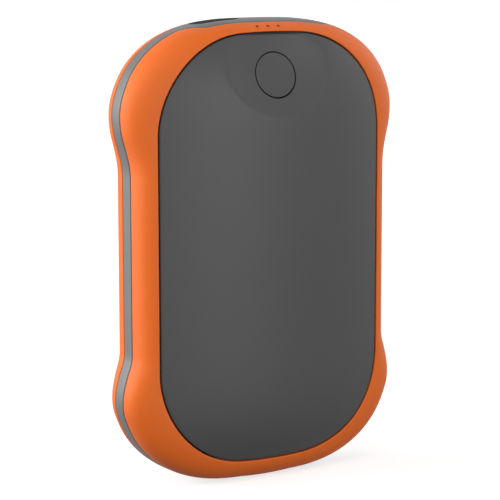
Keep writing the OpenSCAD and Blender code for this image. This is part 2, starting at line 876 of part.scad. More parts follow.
mid_frame();
front_chassis();
rear_chassis();
front_bumper();
rear_bumper();
front_panel();
rear_panel();
front_adhesive();
rear_adhesive();
power_button();
switch_body();
switch_plunger();
circuit_board();
usb_c_shell();
usb_c_tongue();
port_cover();
light_guide();
led_chips();
charge_controller();
boost_inductor();
board_capacitors();
heater_connectors();
board_screws();
housing_screws();
cell_left();
cell_middle();
cell_right();
upper_cell_bracket();
lower_cell_bracket();
nickel_strips();
battery_leads();
front_heater();
rear_heater();
front_foam();
rear_foam();
thermistors();
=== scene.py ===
import math

import bmesh
import bpy
import numpy as np
from mathutils import Matrix


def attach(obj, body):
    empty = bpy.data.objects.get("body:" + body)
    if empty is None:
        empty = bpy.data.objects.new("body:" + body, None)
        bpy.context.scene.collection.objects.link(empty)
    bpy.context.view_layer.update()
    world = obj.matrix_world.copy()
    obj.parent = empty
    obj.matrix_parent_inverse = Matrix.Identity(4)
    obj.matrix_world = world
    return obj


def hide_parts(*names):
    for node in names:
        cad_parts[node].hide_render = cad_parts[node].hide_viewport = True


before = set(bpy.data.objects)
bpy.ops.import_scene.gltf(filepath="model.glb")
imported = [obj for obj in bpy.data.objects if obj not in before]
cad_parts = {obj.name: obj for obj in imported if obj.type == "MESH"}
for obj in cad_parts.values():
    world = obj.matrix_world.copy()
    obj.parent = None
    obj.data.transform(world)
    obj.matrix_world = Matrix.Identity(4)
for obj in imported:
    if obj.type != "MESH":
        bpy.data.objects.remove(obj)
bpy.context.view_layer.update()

mm = 0.001  # shapes are worked out in millimetres and turned to metres when the mesh is made
poleSize = 0.001  # points of a pole or seam that are nearer than this, in millimetres, are merged

# Rechargeable hand warmer: a heat panel's outline with a rim carried round it, which swells at the four corners.
# A flare's four lengths are measured along the panel's edge from the start of the corner arc: back to where
# the swell starts, and on to where it is full, begins to fade and is gone.
# The powers shape the rim's section: a high one keeps that side flat, with a tight shoulder.
body = {
    "depth": 28.4, "crownRadius": 98.0, "endDrop": 4.8, "endPower": 8.0,
    "panelWidth": 64.7, "panelHeight": 109.0, "cornerRadius": 25.0, "endRadius": 146.0,
    "sideRim": 4.7, "topRim": 3.6, "bottomRim": 5.9,
    "topSwell": 3.67, "topFlare": (9.7, 7.9, 10.8, 36.8),
    "bottomSwell": 4.22, "bottomFlare": (4.2, 8.8, 11.8, 40.5), "endBlend": 5.1,
    "bandWidth": 3.85, "capDepth": 11.0, "capWidth": 42.0, "capFlat": 31.0,
    "groove": 0.4, "depthPower": 3.68, "topPower": 2.0, "widthPower": 1.42, "flangeIn": 3.0,
    "skirtHeight": 1.9, "adhesive": 0.2,
}
halfWidth = body["panelWidth"] / 2
halfHeight = body["panelHeight"] / 2
middleZ = body["bottomRim"] + halfHeight
cornerX = halfWidth - body["cornerRadius"]
archAngle = math.asin(cornerX / (body["endRadius"] - body["cornerRadius"]))
cornerZ = halfHeight - body["endRadius"] + (body["endRadius"] - body["cornerRadius"]) * math.cos(archAngle)
cornerRun = body["cornerRadius"] * (math.pi / 2 - archAngle)
edgeRun = cornerRun + body["endRadius"] * archAngle


def easeStep(t):
    # 3t^2 - 2t^3 between 0 and 1, flat outside
    c = np.clip(t, 0, 1)
    return c * c * (3 - 2 * c)


def bulgeWidth(run, swell, flare):
    # the swell times an eased rise before the corner and an eased fall past it
    rise, full, fade, gone = flare
    return swell * easeStep((run + rise) / (rise + full)) * (1 - easeStep((run - fade) / (gone - fade)))


def panelEdge(count):
    # the panel's edge, station by station: a straight side, a corner arc and a shallow end arc in each quarter
    up = np.linspace(-cornerZ, edgeRun, count, endpoint=False)
    down = np.linspace(edgeRun, -cornerZ, count, endpoint=False)
    run = np.concatenate([up, down, up, down])  # length along the edge, 0 where the corner arc starts
    side = np.repeat([1, -1, -1, 1], count)
    upper = np.repeat([1, 1, -1, -1], count)
    angle = np.where(run <= 0, 0, np.where(
        run < cornerRun, run / body["cornerRadius"],
        math.pi / 2 - archAngle + (run - cornerRun) / body["endRadius"]))
    onEnd, onCorner = run >= cornerRun, run > 0
    x = np.where(onEnd, body["endRadius"] * np.cos(angle),
                 np.where(onCorner, cornerX + body["cornerRadius"] * np.cos(angle), halfWidth))
    z = np.where(onEnd, halfHeight - body["endRadius"] + body["endRadius"] * np.sin(angle),
                 np.where(onCorner, cornerZ + body["cornerRadius"] * np.sin(angle), cornerZ + run))
    endRim = np.where(upper > 0, body["topRim"], body["bottomRim"])
    blend = easeStep((run - body["endBlend"]) / (edgeRun - body["endBlend"]))
    rim = body["sideRim"] + (endRim - body["sideRim"]) * blend
    rim = rim + np.where(upper > 0, bulgeWidth(run, body["topSwell"], body["topFlare"]),
                         bulgeWidth(run, body["bottomSwell"], body["bottomFlare"]))
    # the section's power in depth falls over the top end, which slopes more
    power = body["depthPower"] + (body["topPower"] - body["depthPower"]) * np.where(upper > 0, blend, 0)
    edge = {"x": side * x, "z": middleZ + upper * z, "nx": side * np.cos(angle), "nz": upper * np.sin(angle),
            "rim": rim, "power": power}
    edge["depth"] = domeDepth(edge["x"], edge["z"])
    return edge


def domeDepth(x, z):
    # circular crown across the width, less endDrop times the share of the half height to the power endPower
    crown = body["depth"] / 2 - body["crownRadius"] + np.sqrt(body["crownRadius"] ** 2 - x * x)
    return crown - body["endDrop"] * np.abs((z - middleZ) / halfHeight) ** body["endPower"]


def skinOffset(edge, depth):
    # how far the outside stands from the panel's edge at a depth: its share to widthPower and the depth's share to
    # the section's power add to one
    share = np.clip(1 - (np.abs(depth) / edge["depth"]) ** edge["power"], 0, 1)
    return body["groove"] + (edge["rim"] - body["groove"]) * share ** (1 / body["widthPower"])


def seamDepth(edge):
    # half the band's depth, wider over the cap with an eased shoulder at each end
    flat = body["capFlat"] / 2
    onCap = 1 - easeStep((np.abs(edge["x"]) - flat) / (body["capWidth"] / 2 - flat))
    onCap = np.where(edge["z"] > middleZ, onCap, 0)
    return body["bandWidth"] / 2 + (body["capDepth"] - body["bandWidth"]) / 2 * onCap


def bendCorner(start, corner, end, count):
    # quadratic curve from start to end that leans on the corner, as count columns
    t = np.linspace(0, 1, count)
    return [start * (1 - s) ** 2 + corner * 2 * s * (1 - s) + end * s * s for s in t]


def makeMesh(name, points, faces, smooth=True):
    # points in millimetres, and faces that all have the same number of corners
    mesh = bpy.data.meshes.new(name)
    points = np.asarray(points, dtype=np.float64).reshape(-1, 3) * mm
    sides = faces.shape[1]
    # signed volume by the divergence of the position: where it is negative, the faces are turned outwards
    a, b, c = points[faces[:, 0]], points[faces[:, 1]], points[faces[:, 2]]
    volume = np.einsum("ij,ij->i", a, np.cross(b, c)).sum()
    if sides == 4:
        volume += np.einsum("ij,ij->i", a, np.cross(c, points[faces[:, 3]])).sum()
    if volume < 0:
        faces = faces[:, ::-1]
    mesh.vertices.add(len(points))
    mesh.vertices.foreach_set("co", points.ravel())
    mesh.loops.add(faces.size)
    mesh.loops.foreach_set("vertex_index", faces.ravel().astype(np.int32))
    mesh.polygons.add(len(faces))
    mesh.polygons.foreach_set("loop_start", np.arange(0, faces.size, sides, dtype=np.int32))
    mesh.polygons.foreach_set("use_smooth", np.full(len(faces), smooth))
    mesh.update(calc_edges=True)
    mesh.validate()
    piece = bpy.data.objects.new(name, mesh)
    bpy.context.collection.objects.link(piece)
    return piece


def makeGrid(name, points, closed=True, smooth=True):
    # quads over a grid of points that closes round its rows; its columns close too, or end in a pole or a seam
    rows, columns = points.shape[:2]
    r, c = np.meshgrid(np.arange(rows), np.arange(columns if closed else columns - 1), indexing="ij")
    r, c = r.ravel(), c.ravel()
    nextR, nextC = (r + 1) % rows, (c + 1) % columns
    faces = np.stack([r * columns + c, r * columns + nextC, nextR * columns + nextC, nextR * columns + c], axis=1)
    piece = makeMesh(name, points, faces, smooth)
    if not closed:
        # the points that meet there are made one
        work = bmesh.new()
        work.from_mesh(piece.data)
        bmesh.ops.remove_doubles(work, verts=work.verts, dist=poleSize * mm)
        work.to_mesh(piece.data)
        work.free()
    return piece


def sweepSection(name, edge, section, flip=1):
    # a closed section of (offset, depth) columns carried round the panel's edge
    offset = np.stack([column[0] for column in section], axis=1)
    depth = np.stack([column[1] for column in section], axis=1)
    x = edge["x"][:, None] + edge["nx"][:, None] * offset
    z = edge["z"][:, None] + edge["nz"][:, None] * offset
    points = np.stack([x, -flip * depth, z], axis=2)
    return makeGrid(name, points)


def cutAway(piece, cutters):
    # takes each cutter out of the piece, and applies it
    for cutter in cutters:
        cut = piece.modifiers.new("cut", "BOOLEAN")
        cut.operation, cut.object, cut.solver = "DIFFERENCE", cutter, "EXACT"
    graph = bpy.context.evaluated_depsgraph_get()
    whole = bpy.data.meshes.new_from_object(piece.evaluated_get(graph))
    piece.modifiers.clear()
    piece.data = whole
    for cutter in cutters:
        bpy.data.objects.remove(cutter)


def linearColor(code):
    # sRGB hex to linear by the standard curve, with alpha
    parts = [int(code[i:i + 2], 16) / 255 for i in (1, 3, 5)]
    return tuple(p / 12.92 if p <= 0.04045 else ((p + 0.055) / 1.055) ** 2.4 for p in parts) + (1.0,)


def perMetre(sizeMm):
    # a noise texture's scale from the size of its grain
    return 1000 / sizeMm


def addNode(tree, kind, links=None, **settings):
    # adds a node, sets its properties or sockets by name, and links its inputs
    node = tree.nodes.new(kind)
    for key, value in settings.items():
        if hasattr(node, key):
            setattr(node, key, value)
        else:
            node.inputs[key.replace("_", " ")].default_value = value
    for key, source in (links or {}).items():
        tree.links.new(source, node.inputs[key if isinstance(key, int) else key.replace("_", " ")])
    return node


# soft frames: a quick curve over the shoulder, a small lip at the groove and at the seam
softFrame = {
    "stations": 130, "shoulderPoints": 34, "seamPoints": 5, "lipPoints": 6,
    "lip": 0.3, "seamEdge": 0.3, "seamGap": 0.25, "thickness": 2.0, "ledgeGap": 0.05, "crease": 0.1,
}
frameEdge = panelEdge(softFrame["stations"])
frameEdge["seam"] = seamDepth(frameEdge)
ledgeDepth = domeDepth(halfWidth, middleZ) - body["skirtHeight"] - body["adhesive"]


def softSection(edge):
    # from the seam over the shoulder: offset = groove + span * cos(a)^(2/q), depth = full * sin(a)^(2/p)
    full, power, span = edge["depth"], edge["power"], edge["rim"] - body["groove"]
    low = edge["seam"] + softFrame["seamGap"]
    start = low + softFrame["seamEdge"]
    lipShare = softFrame["lip"] / span
    startAngle = np.arcsin((start / full) ** (power / 2))
    endAngle = np.arccos(lipShare ** (body["widthPower"] / 2))
    startOffset = skinOffset(edge, start)
    lowOffset = skinOffset(edge, low)
    endDepth = full * np.sin(endAngle) ** (2 / power)
    seamX = bendCorner(lowOffset - softFrame["seamEdge"], lowOffset, startOffset, softFrame["seamPoints"])
    seamY = bendCorner(low, low, start, softFrame["seamPoints"])
    section = list(zip(seamX, seamY))[:-1]
    for t in np.linspace(0, 1, softFrame["shoulderPoints"]):
        angle = startAngle + (endAngle - startAngle) * t
        section.append((body["groove"] + span * np.cos(angle) ** (2 / body["widthPower"]),
                        full * np.sin(angle) ** (2 / power)))
    groove = np.full_like(full, body["groove"])
    lipX = bendCorner(groove + softFrame["lip"], groove, groove, softFrame["lipPoints"])
    lipY = bendCorner(endDepth, full, full - softFrame["lip"], softFrame["lipPoints"])
    section += list(zip(lipX, lipY))[1:]
    # down the groove to the ledge, and back to the seam along the inner wall
    floor = np.full_like(full, ledgeDepth + softFrame["ledgeGap"])
    wall = edge["rim"] - softFrame["thickness"]
    return section + [(groove, floor + softFrame["crease"]), (groove, floor), (wall, floor), (wall, low)]


# charge light holes in the front frame's top edge, leaning forward; the rods that cut them run in and out of it
lightHoles = {
    "pitch": 3.1, "shift": 0.7, "count": 3, "radius": 0.42, "depth": 8.0, "lean": 58.0,
    "inward": 4.0, "outward": 2.0, "segments": 24,
}


def lightHoleRods():
    # rods along each light hole: a circle carried along the leaning axis
    lean = math.radians(lightHoles["lean"])
    axis = np.array([0, -math.sin(lean), math.cos(lean)])
    across, along = np.array([1.0, 0, 0]), np.array([0, -math.cos(lean), -math.sin(lean)])
    peak = {key: frameEdge[key][softFrame["stations"]] for key in frameEdge}
    z = peak["z"] + skinOffset(peak, lightHoles["depth"])
    turn = np.linspace(0, 2 * math.pi, lightHoles["segments"], endpoint=False)
    radius, low, high = lightHoles["radius"], -lightHoles["inward"], lightHoles["outward"]
    rings = [(0.0, low), (radius, low), (radius, high), (0.0, high)]
    rods = []
    for i in range(lightHoles["count"]):
        x = (i - (lightHoles["count"] - 1) / 2) * lightHoles["pitch"] - lightHoles["shift"]
        centre = np.array([x, -lightHoles["depth"], z])
        points = np.stack([centre + axis * h + r * (np.cos(turn)[:, None] * across + np.sin(turn)[:, None] * along)
                           for r, h in rings], axis=1)
        rods.append(makeGrid("rod%d" % i, points, closed=False, smooth=False))
    return rods


frontFrame = sweepSection("frontSoftFrame", frameEdge, softSection(frameEdge))
rearFrame = sweepSection("rearSoftFrame", frameEdge, softSection(frameEdge), flip=-1)
cutAway(frontFrame, lightHoleRods())
print("soft frames made")


# mid frame: the band, wide over the cap, with the recess for the port cover
midFrame = {"edge": 0.25, "edgePoints": 4, "bandPoints": 9}


def bandSection(edge):
    # the same outside as the soft frames between the two seams, with eased edges
    seam, ease = edge["seam"], midFrame["edge"]
    seamOffset = skinOffset(edge, seam)
    lowX = bendCorner(seamOffset - ease, seamOffset, skinOffset(edge, seam - ease), midFrame["edgePoints"])
    lowY = bendCorner(-seam, -seam, ease - seam, midFrame["edgePoints"])
    section = list(zip(lowX, lowY))
    section += [(skinOffset(edge, (seam - ease) * t), (seam - ease) * t)
                for t in np.linspace(-1, 1, midFrame["bandPoints"])[1:-1]]
    section += [(x, -y) for x, y in reversed(list(zip(lowX, lowY)))]
    inner = np.full_like(seam, -body["flangeIn"])
    return section + [(inner, seam), (inner, -seam)]


# port in the cap's left half: the cover's own frame is u along the cap, v in depth and h out of it
port = {
    "x": 12.0, "coverWidth": 13.2, "coverDepth": 6.2, "coverThick": 1.2, "coverEdge": 0.2, "edgeStart": 0.3,
    "coverGap": 0.15, "floorGap": 0.1, "recessRise": 1.0, "recessRings": 8, "coverRings": 10, "edgeRings": 5,
    "underRing": 0.7, "underShare": 0.6,
    "slotWidth": 9.14, "slotDepth": 3.46, "slotEnd": 9.85,
    "bungWidth": 7.94, "bungDepth": 2.26, "bungHeight": 0.9, "bungEdge": 0.3, "bungEase": 0.08,
    "bead": 0.42, "beadGap": 0.14, "beadWide": 3.0, "neckWide": 2.4, "beadOut": 0.35, "beadDrop": 0.5,
    "neckIn": 0.5, "grooveIn": 1.0, "swing": 0.36,
    "loopPoints": 96, "rodSegments": 24,
}


def capHeight(x, y):
    # height of the cap's outside over a place on its left half, between stations by the x of their outside
    stations = softFrame["stations"]
    top = {key: frameEdge[key][stations:stations + stations // 2] for key in frameEdge}
    outX = top["x"] + top["nx"] * top["rim"]
    near = {key: np.interp(-x, -outX, top[key]) for key in top}
    return near["z"] + near["nz"] * skinOffset(near, y)


def pillLoop(length, width):
    # rounded slot outline: half circles on the ends of a straight stretch, which is crossed while |cos| < 1/3
    t = np.linspace(0, 2 * math.pi, port["loopPoints"], endpoint=False)
    c, s = np.cos(t), np.sin(t)
    return (length - width) / 2 * np.clip(c * 3, -1, 1) + width / 2 * c, width / 2 * s


coverEnds = np.array([port["coverWidth"] / 2 - port["x"], -port["coverWidth"] / 2 - port["x"]])
innerHeight, outerHeight = capHeight(coverEnds, np.zeros(2))
portSlope = math.atan2(innerHeight - outerHeight, port["coverWidth"])
portChord = (innerHeight + outerHeight) / 2


def onPort(u, v, h):
    # from the cover's own frame to the body's
    return np.stack([u * math.cos(portSlope) - h * math.sin(portSlope) - port["x"], v,
                     portChord + u * math.sin(portSlope) + h * math.cos(portSlope)], axis=-1)


def capOverPort(u, v):
    # height of the cap's outside in the cover's frame, found in four steps towards it
    h = np.zeros_like(u)
    for step in range(4):
        x = u * math.cos(portSlope) - h * math.sin(portSlope) - port["x"]
        h = (capHeight(x, v) - portChord - u * math.sin(portSlope)) / math.cos(portSlope)
    return h


def pillBody(name, profile, length, width):
    # loops of the pill at an inset and a height, from seam to seam along its middle; a height is a function of place
    loops = []
    for inset, height in profile:
        u, v = pillLoop(length - 2 * inset, max(width - 2 * inset, 0))
        loops.append(onPort(u, v, height(u, v)))
    return makeGrid(name, np.stack(loops, axis=1), closed=False)


def portTube(name, u, v, low, high):
    # straight tube over a closed loop of places, between two heights; its two caps close on the loop's middle
    pole = (np.full_like(u, u.mean()), np.full_like(v, v.mean()))
    rings = [(pole, low), ((u, v), low), ((u, v), high), (pole, high)]
    points = np.stack([onPort(a, b, np.full_like(a, h)) for (a, b), h in rings], axis=1)
    return makeGrid(name, points, closed=False, smooth=False)


def portBox(name, uRange, vRange, hRange):
    # box along the cover's own axes
    u = np.array([uRange[0], uRange[1], uRange[1], uRange[0]])
    v = np.array([vRange[0], vRange[0], vRange[1], vRange[1]])
    return portTube(name, u, v, *hRange)


def hingeRod(name, radius, length):
    # rod across the port's inner end; its rounded ends close on the axis
    turn = np.linspace(0, 2 * math.pi, port["rodSegments"], endpoint=False)
    rings = [(0, 0.5), (0.75, 0.5), (1, 0.47), (1, -0.47), (0.75, -0.5), (0, -0.5)]  # shares of radius and length
    u = port["coverWidth"] / 2 + port["beadOut"]
    points = np.stack([
        onPort(u + radius * r * np.cos(turn), np.full(len(turn), length * v),
               radius * r * np.sin(turn) - port["beadDrop"])
        for r, v in rings], axis=1)
    return makeGrid(name, points, closed=False)


def recessFloor(u, v):
    # the height of the cap's middle line, less the cover and the gap under it
    return capOverPort(u, 0 * v) - port["coverThick"] - port["floorGap"]


def recessTop(u, v):
    # clear of the cap's outside
    return capOverPort(u, 0 * v) + port["recessRise"]


def portCutters():
    # the cover's recess, the socket's slot, and the room in which the hinge bead and its neck turn
    gap, half, tip = port["coverGap"], port["coverDepth"] / 2 + port["coverGap"], port["coverWidth"] / 2
    profile = [(half * s, recessFloor) for s in np.linspace(1, 0, port["recessRings"])]
    profile += [(half * s, recessTop) for s in (0, 0.5, 1)]
    recess = pillBody("recess", profile, port["coverWidth"] + 2 * gap, port["coverDepth"] + 2 * gap)
    slot = portTube("slot", *pillLoop(port["slotWidth"], port["slotDepth"]), -port["slotEnd"], 0.0)
    reach, neck = port["beadWide"] / 2 + gap, port["neckWide"] / 2 + gap
    groove = portBox("groove", (tip - port["grooveIn"], tip + port["beadOut"] + port["bead"] + port["swing"]),
                     (-reach, reach), (-port["beadDrop"], port["recessRise"]))
    neckRoom = portBox("neckRoom", (tip - port["grooveIn"], tip + port["beadOut"]), (-neck, neck),
                       (-port["beadDrop"] - port["bead"] - port["beadGap"], 0.0))
    beadRoom = hingeRod("beadRoom", port["bead"] + port["beadGap"], port["beadWide"] + 2 * gap)
    return [recess, slot, groove, neckRoom, beadRoom]


band = sweepSection("midFrame", frameEdge, bandSection(frameEdge))
cutAway(band, portCutters())
print("mid frame made")


def coverUnder(u, v):
    # the height of the cap's middle line, less the cover's thickness
    return capOverPort(u, 0 * v) - port["coverThick"]


def coverPlate():
    # follows the cap on top, with an edge rounded by a circle, and closes along its middle above and below
    half, ease = port["coverDepth"] / 2, port["coverEdge"]
    profile = [(half * s, capOverPort) for s in np.linspace(1, ease / half, port["coverRings"])]
    profile += [(ease * (1 - math.sin(a)), lambda u, v, a=a: capOverPort(u, v) - ease * (1 - math.cos(a)))
                for a in np.linspace(port["edgeStart"], math.pi / 2, port["edgeRings"])]
    profile += [(inset, coverUnder) for inset in (0, port["underRing"], half * port["underShare"], half)]
    return pillBody("portCover", profile, port["coverWidth"], port["coverDepth"])


def coverBung():
    # plugs the socket's mouth under the plate, with its lower edge eased
    middle, edge, ease = port["bungDepth"] / 2, port["bungEdge"], port["bungEase"]

    def top(u, v):
        return coverUnder(u, v) + edge

    def low(u, v, rise=0.0):
        return np.full_like(u, -port["coverThick"] - port["bungHeight"]) + rise

    profile = [(middle, top), (0, top), (0, lambda u, v: low(u, v, edge)), (ease, lambda u, v: low(u, v, ease)),
               (edge, low), (middle, low)]
    return pillBody("portBung", profile, port["bungWidth"], port["bungDepth"])


# port cover: a pill that follows the cap, with a bung for the socket under it and a hinge bead on its inner end
def coverPiece():
    tip, neck = port["coverWidth"] / 2, port["neckWide"] / 2
    return [
        coverPlate(),
        coverBung(),
        hingeRod("hingeBead", port["bead"], port["beadWide"]),
        portBox("hingeNeck", (tip - port["neckIn"], tip + port["beadOut"]), (-neck, neck),
                (-port["beadDrop"] - port["bead"], port["bead"] - port["beadDrop"])),
    ]


coverPieces = coverPiece()
print("port cover made")


# thumb scoop, pressed into the front panel as part of a large sphere, and the button in it
thumbScoop = {
    "radius": 60.0, "sink": 3.05, "tilt": 15.0, "fromTop": 10.45, "softLow": 0.05, "softSide": 0.35, "softReach": 11.0,
}
button = {
    "radius": 5.7, "gap": 0.3, "height": 2.4, "flangeThick": 0.8, "flangeWide": 1.0, "edge": 0.16,
    "ballRadius": 1.6, "ballRise": 0.5, "faceRings": 24, "edgeRings": 6, "ballRings": 10, "segments": 160,
}
buttonZ = middleZ + halfHeight - thumbScoop["fromTop"]
buttonDepth = float(domeDepth(0.0, buttonZ)) - thumbScoop["sink"]
tilt = math.radians(thumbScoop["tilt"])
buttonCentre = np.array([0, -buttonDepth, buttonZ])
buttonOut = np.array([0, -math.cos(tilt), math.sin(tilt)])
buttonUp = np.array([0, math.sin(tilt), math.cos(tilt)])


def panelDepth(x, z):
    # the lower of the dome and the scoop's sphere, joined by a soft minimum whose width grows from the scoop's foot up
    radius = thumbScoop["radius"]
    centreDepth, centreZ = buttonDepth + radius * math.cos(tilt), buttonZ + radius * math.sin(tilt)
    dome = domeDepth(x, z)
    reach = np.clip(radius * radius - x * x - (z - centreZ) ** 2, 0, None)
    scoop = centreDepth - np.sqrt(reach)
    rise = np.clip((z - buttonZ) / thumbScoop["softReach"] + 1, 0, 2) / 2
    soft = thumbScoop["softLow"] + (thumbScoop["softSide"] - thumbScoop["softLow"]) * easeStep(rise)
    return -soft * np.logaddexp(-dome / soft, -scoop / soft)


# heat panels: rings from the middle or from the button's bore out to the edge, close where the scoop bends
panel = {
    "stations": 110, "thickness": 1.5, "skirt": 1.4, "edge": 0.35, "crease": 0.1, "edgeRings": 6,
    "scoopRings": (70, 60), "plainRings": (20, 40), "nearReach": 17.0, "nearShare": 0.6,
    "innerRings": 12, "innerStart": 0.004, "boreRings": 5,
}


def insetEdge(around, inset):
    # the panel's edge, moved in along its normal
    return around["x"] - around["nx"] * inset, around["z"] - around["nz"] * inset


def boreLoop(around, radius):
    # circle about the button's axis, with a point on each ray from it to the panel's edge
    turn = np.arctan2((around["z"] - buttonZ) / math.cos(tilt), around["x"])
    return radius * np.cos(turn), buttonZ + radius * np.sin(turn) * math.cos(tilt)


def panelRings(around, firstLoop, rings):
    # along each ray from the first loop to the edge: close steps near the button, wider ones beyond
    endX, endZ = insetEdge(around, panel["edge"])
    startX, startZ = firstLoop
    length = np.hypot(endX - startX, endZ - startZ)
    near = np.minimum(panel["nearReach"], panel["nearShare"] * length) / length
    shares = [near * t for t in np.linspace(0, 1, rings[0], endpoint=False)]
    shares += [near + (1 - near) * t for t in np.linspace(0, 1, rings[1])]
    return [(startX + (endX - startX) * s, startZ + (endZ - startZ) * s) for s in shares]


def boreRows(around, firstLoop):
    # the bore's wall from the inside out, straight along the button's axis, with an eased mouth
    mouthX, mouthZ = boreLoop(around, button["radius"] + button["gap"])
    mouthY = panelDepth(mouthX, mouthZ)

    def down(depth):
        return mouthX, mouthY - depth * math.cos(tilt), mouthZ - depth * math.sin(tilt)

    lipX, lipY, lipZ = down(button["edge"])
    bendX = bendCorner(mouthX, mouthX, firstLoop[0], panel["boreRings"])
    bendZ = bendCorner(lipZ, mouthZ, firstLoop[1], panel["boreRings"])
    bendY = bendCorner(lipY, mouthY, panelDepth(*firstLoop), panel["boreRings"])
    return [down(panel["thickness"]), down(panel["thickness"] - panel["crease"]), down(button["edge"] * 2),
            *list(zip(bendX, bendY, bendZ))[:-1]]


def panelPiece(name, flip, scooped):
    # rows of (x, depth, z): over the crown, round the edge, down and across the skirt, and back under the crown
    around = panelEdge(panel["stations"])
    if scooped:
        depthAt, rings = panelDepth, panel["scoopRings"]
        firstLoop = boreLoop(around, button["radius"] + button["gap"] + button["edge"])
    else:
        depthAt, rings = domeDepth, panel["plainRings"]
        firstLoop = np.zeros_like(around["x"]), np.full_like(around["z"], middleZ)
    rows = [(x, depthAt(x, z), z) for x, z in panelRings(around, firstLoop, rings)]
    startX, startZ = insetEdge(around, panel["edge"])
    edgeX = bendCorner(startX, around["x"], around["x"], panel["edgeRings"])
    edgeZ = bendCorner(startZ, around["z"], around["z"], panel["edgeRings"])
    edgeY = bendCorner(depthAt(edgeX[0], edgeZ[0]), around["depth"], around["depth"] - panel["edge"],
                       panel["edgeRings"])
    rows += list(zip(edgeX, edgeY, edgeZ))[1:]
    inX, inZ = insetEdge(around, panel["skirt"])
    low = np.full_like(around["x"], ledgeDepth + body["adhesive"])
    rows += [(around["x"], low + panel["crease"], around["z"]), (around["x"], low, around["z"]),
             (inX, low, inZ), (inX, low + panel["crease"], inZ)]
    for s in np.linspace(panel["innerStart"], 1, panel["innerRings"]):
        x, z = inX + (firstLoop[0] - inX) * s, inZ + (firstLoop[1] - inZ) * s
        rows.append((x, depthAt(x, z) - panel["thickness"], z))
    if scooped:
        rows = rows[:-1] + boreRows(around, firstLoop)
    points = np.stack([np.stack([x, -flip * depth, z], axis=-1) for x, depth, z in rows], axis=1)
    return makeGrid(name, points, closed=scooped)


frontPanel = panelPiece("frontPanel", 1, True)
rearPanel = panelPiece("rearPanel", -1, False)
print("panels made")


def buttonPiece():
    # a profile of (radius, height) turned about the button's axis; its face is the scoop's own sphere
    scoop, rim, ease = thumbScoop["radius"], button["radius"], button["edge"]
    ball, rise, flange = button["ballRadius"], button["ballRise"], button["radius"] + button["flangeWide"]

    def face(r):
        return scoop - math.sqrt(scoop * scoop - r * r)

    profile = [(r, face(r)) for r in np.linspace(0, rim - ease, button["faceRings"])]
    edgeR = bendCorner(rim - ease, rim, rim, button["edgeRings"])
    edgeH = bendCorner(face(rim - ease), face(rim), face(rim) - ease, button["edgeRings"])
    profile += list(zip(edgeR, edgeH))[1:]
    top, low = button["flangeThick"] - button["height"], -button["height"]
    # under the flange, part of a ball that presses the switch
    profile += [(rim, top), (flange, top), (flange, low), (math.sqrt(ball ** 2 - rise ** 2), low)]
    profile += [(ball * math.sin(a), low + rise - ball * math.cos(a))
                for a in np.linspace(math.acos(rise / ball), 0, button["ballRings"])[1:]]
    turn = np.linspace(0, 2 * math.pi, button["segments"], endpoint=False)[:, None, None]
    radius = np.array([place[0] for place in profile])[None, :, None]
    height = np.array([place[1] for place in profile])[None, :, None]
    points = (buttonCentre + buttonOut * height
              + radius * (np.cos(turn) * np.array([1.0, 0, 0]) + np.sin(turn) * buttonUp))
    return makeGrid("thumbButton", points, closed=False)


buttonDisc = buttonPiece()
print("button made")


# materials: their grain is noise on Object coordinates, which are in metres
def freshTree(name):
    material = bpy.data.materials.new(name)
    material.use_nodes = True
    tree = material.node_tree
    tree.nodes.clear()
    out = addNode(tree, "ShaderNodeOutputMaterial")
    return material, tree, out


def softTouchElastomer(name, lighter, darker):
    # soft-touch TPE moulded over the chassis: dull and even, with a sparked grain that barely catches light,
    # a faint bloom at grazing angles, and slow shifts of tone where it was handled.
    # The spark grain of the mould is about 0.05 mm, too fine to show, so it is drawn at 0.28 mm.
    grain = {"sparkMm": 0.28, "driftMm": 26.0, "bumpMm": 0.012, "mottle": 0.06, "roughness": (0.54, 0.63)}
    material, tree, out = freshTree(name)
    place = addNode(tree, "ShaderNodeTexCoord").outputs["Object"]
    drift = addNode(tree, "ShaderNodeTexNoise", {"Vector": place},
                    Scale=perMetre(grain["driftMm"]), Detail=2.0, Roughness=0.5)
    spark = addNode(tree, "ShaderNodeTexNoise", {"Vector": place},
                    Scale=perMetre(grain["sparkMm"]), Detail=2.0, Roughness=0.6)
    tone = addNode(tree, "ShaderNodeMix", {"Factor": drift.outputs["Fac"]}, data_type="RGBA")
    tone.inputs[6].default_value, tone.inputs[7].default_value = linearColor(darker), linearColor(lighter)
    mottle = addNode(tree, "ShaderNodeMapRange", {"Value": spark.outputs["Fac"]},
                     To_Min=1 - grain["mottle"], To_Max=1 + grain["mottle"])
    shade = addNode(tree, "ShaderNodeVectorMath", {0: tone.outputs[2], 1: mottle.outputs["Result"]},
                    operation="MULTIPLY")
    dull = addNode(tree, "ShaderNodeMapRange", {"Value": drift.outputs["Fac"]},
                   To_Min=grain["roughness"][0], To_Max=grain["roughness"][1])
    bump = addNode(tree, "ShaderNodeBump", {"Height": spark.outputs["Fac"]},
                   Strength=0.5, Distance=grain["bumpMm"] * mm)
    skin = addNode(tree, "ShaderNodeBsdfPrincipled",
                   {"Base Color": shade.outputs[0], "Roughness": dull.outputs["Result"],
                    "Normal": bump.outputs["Normal"]},
                   IOR=1.48, Specular_IOR_Level=0.35, Sheen_Weight=0.06, Sheen_Roughness=0.5)
    tree.links.new(skin.outputs[0], out.inputs[0])
    return material


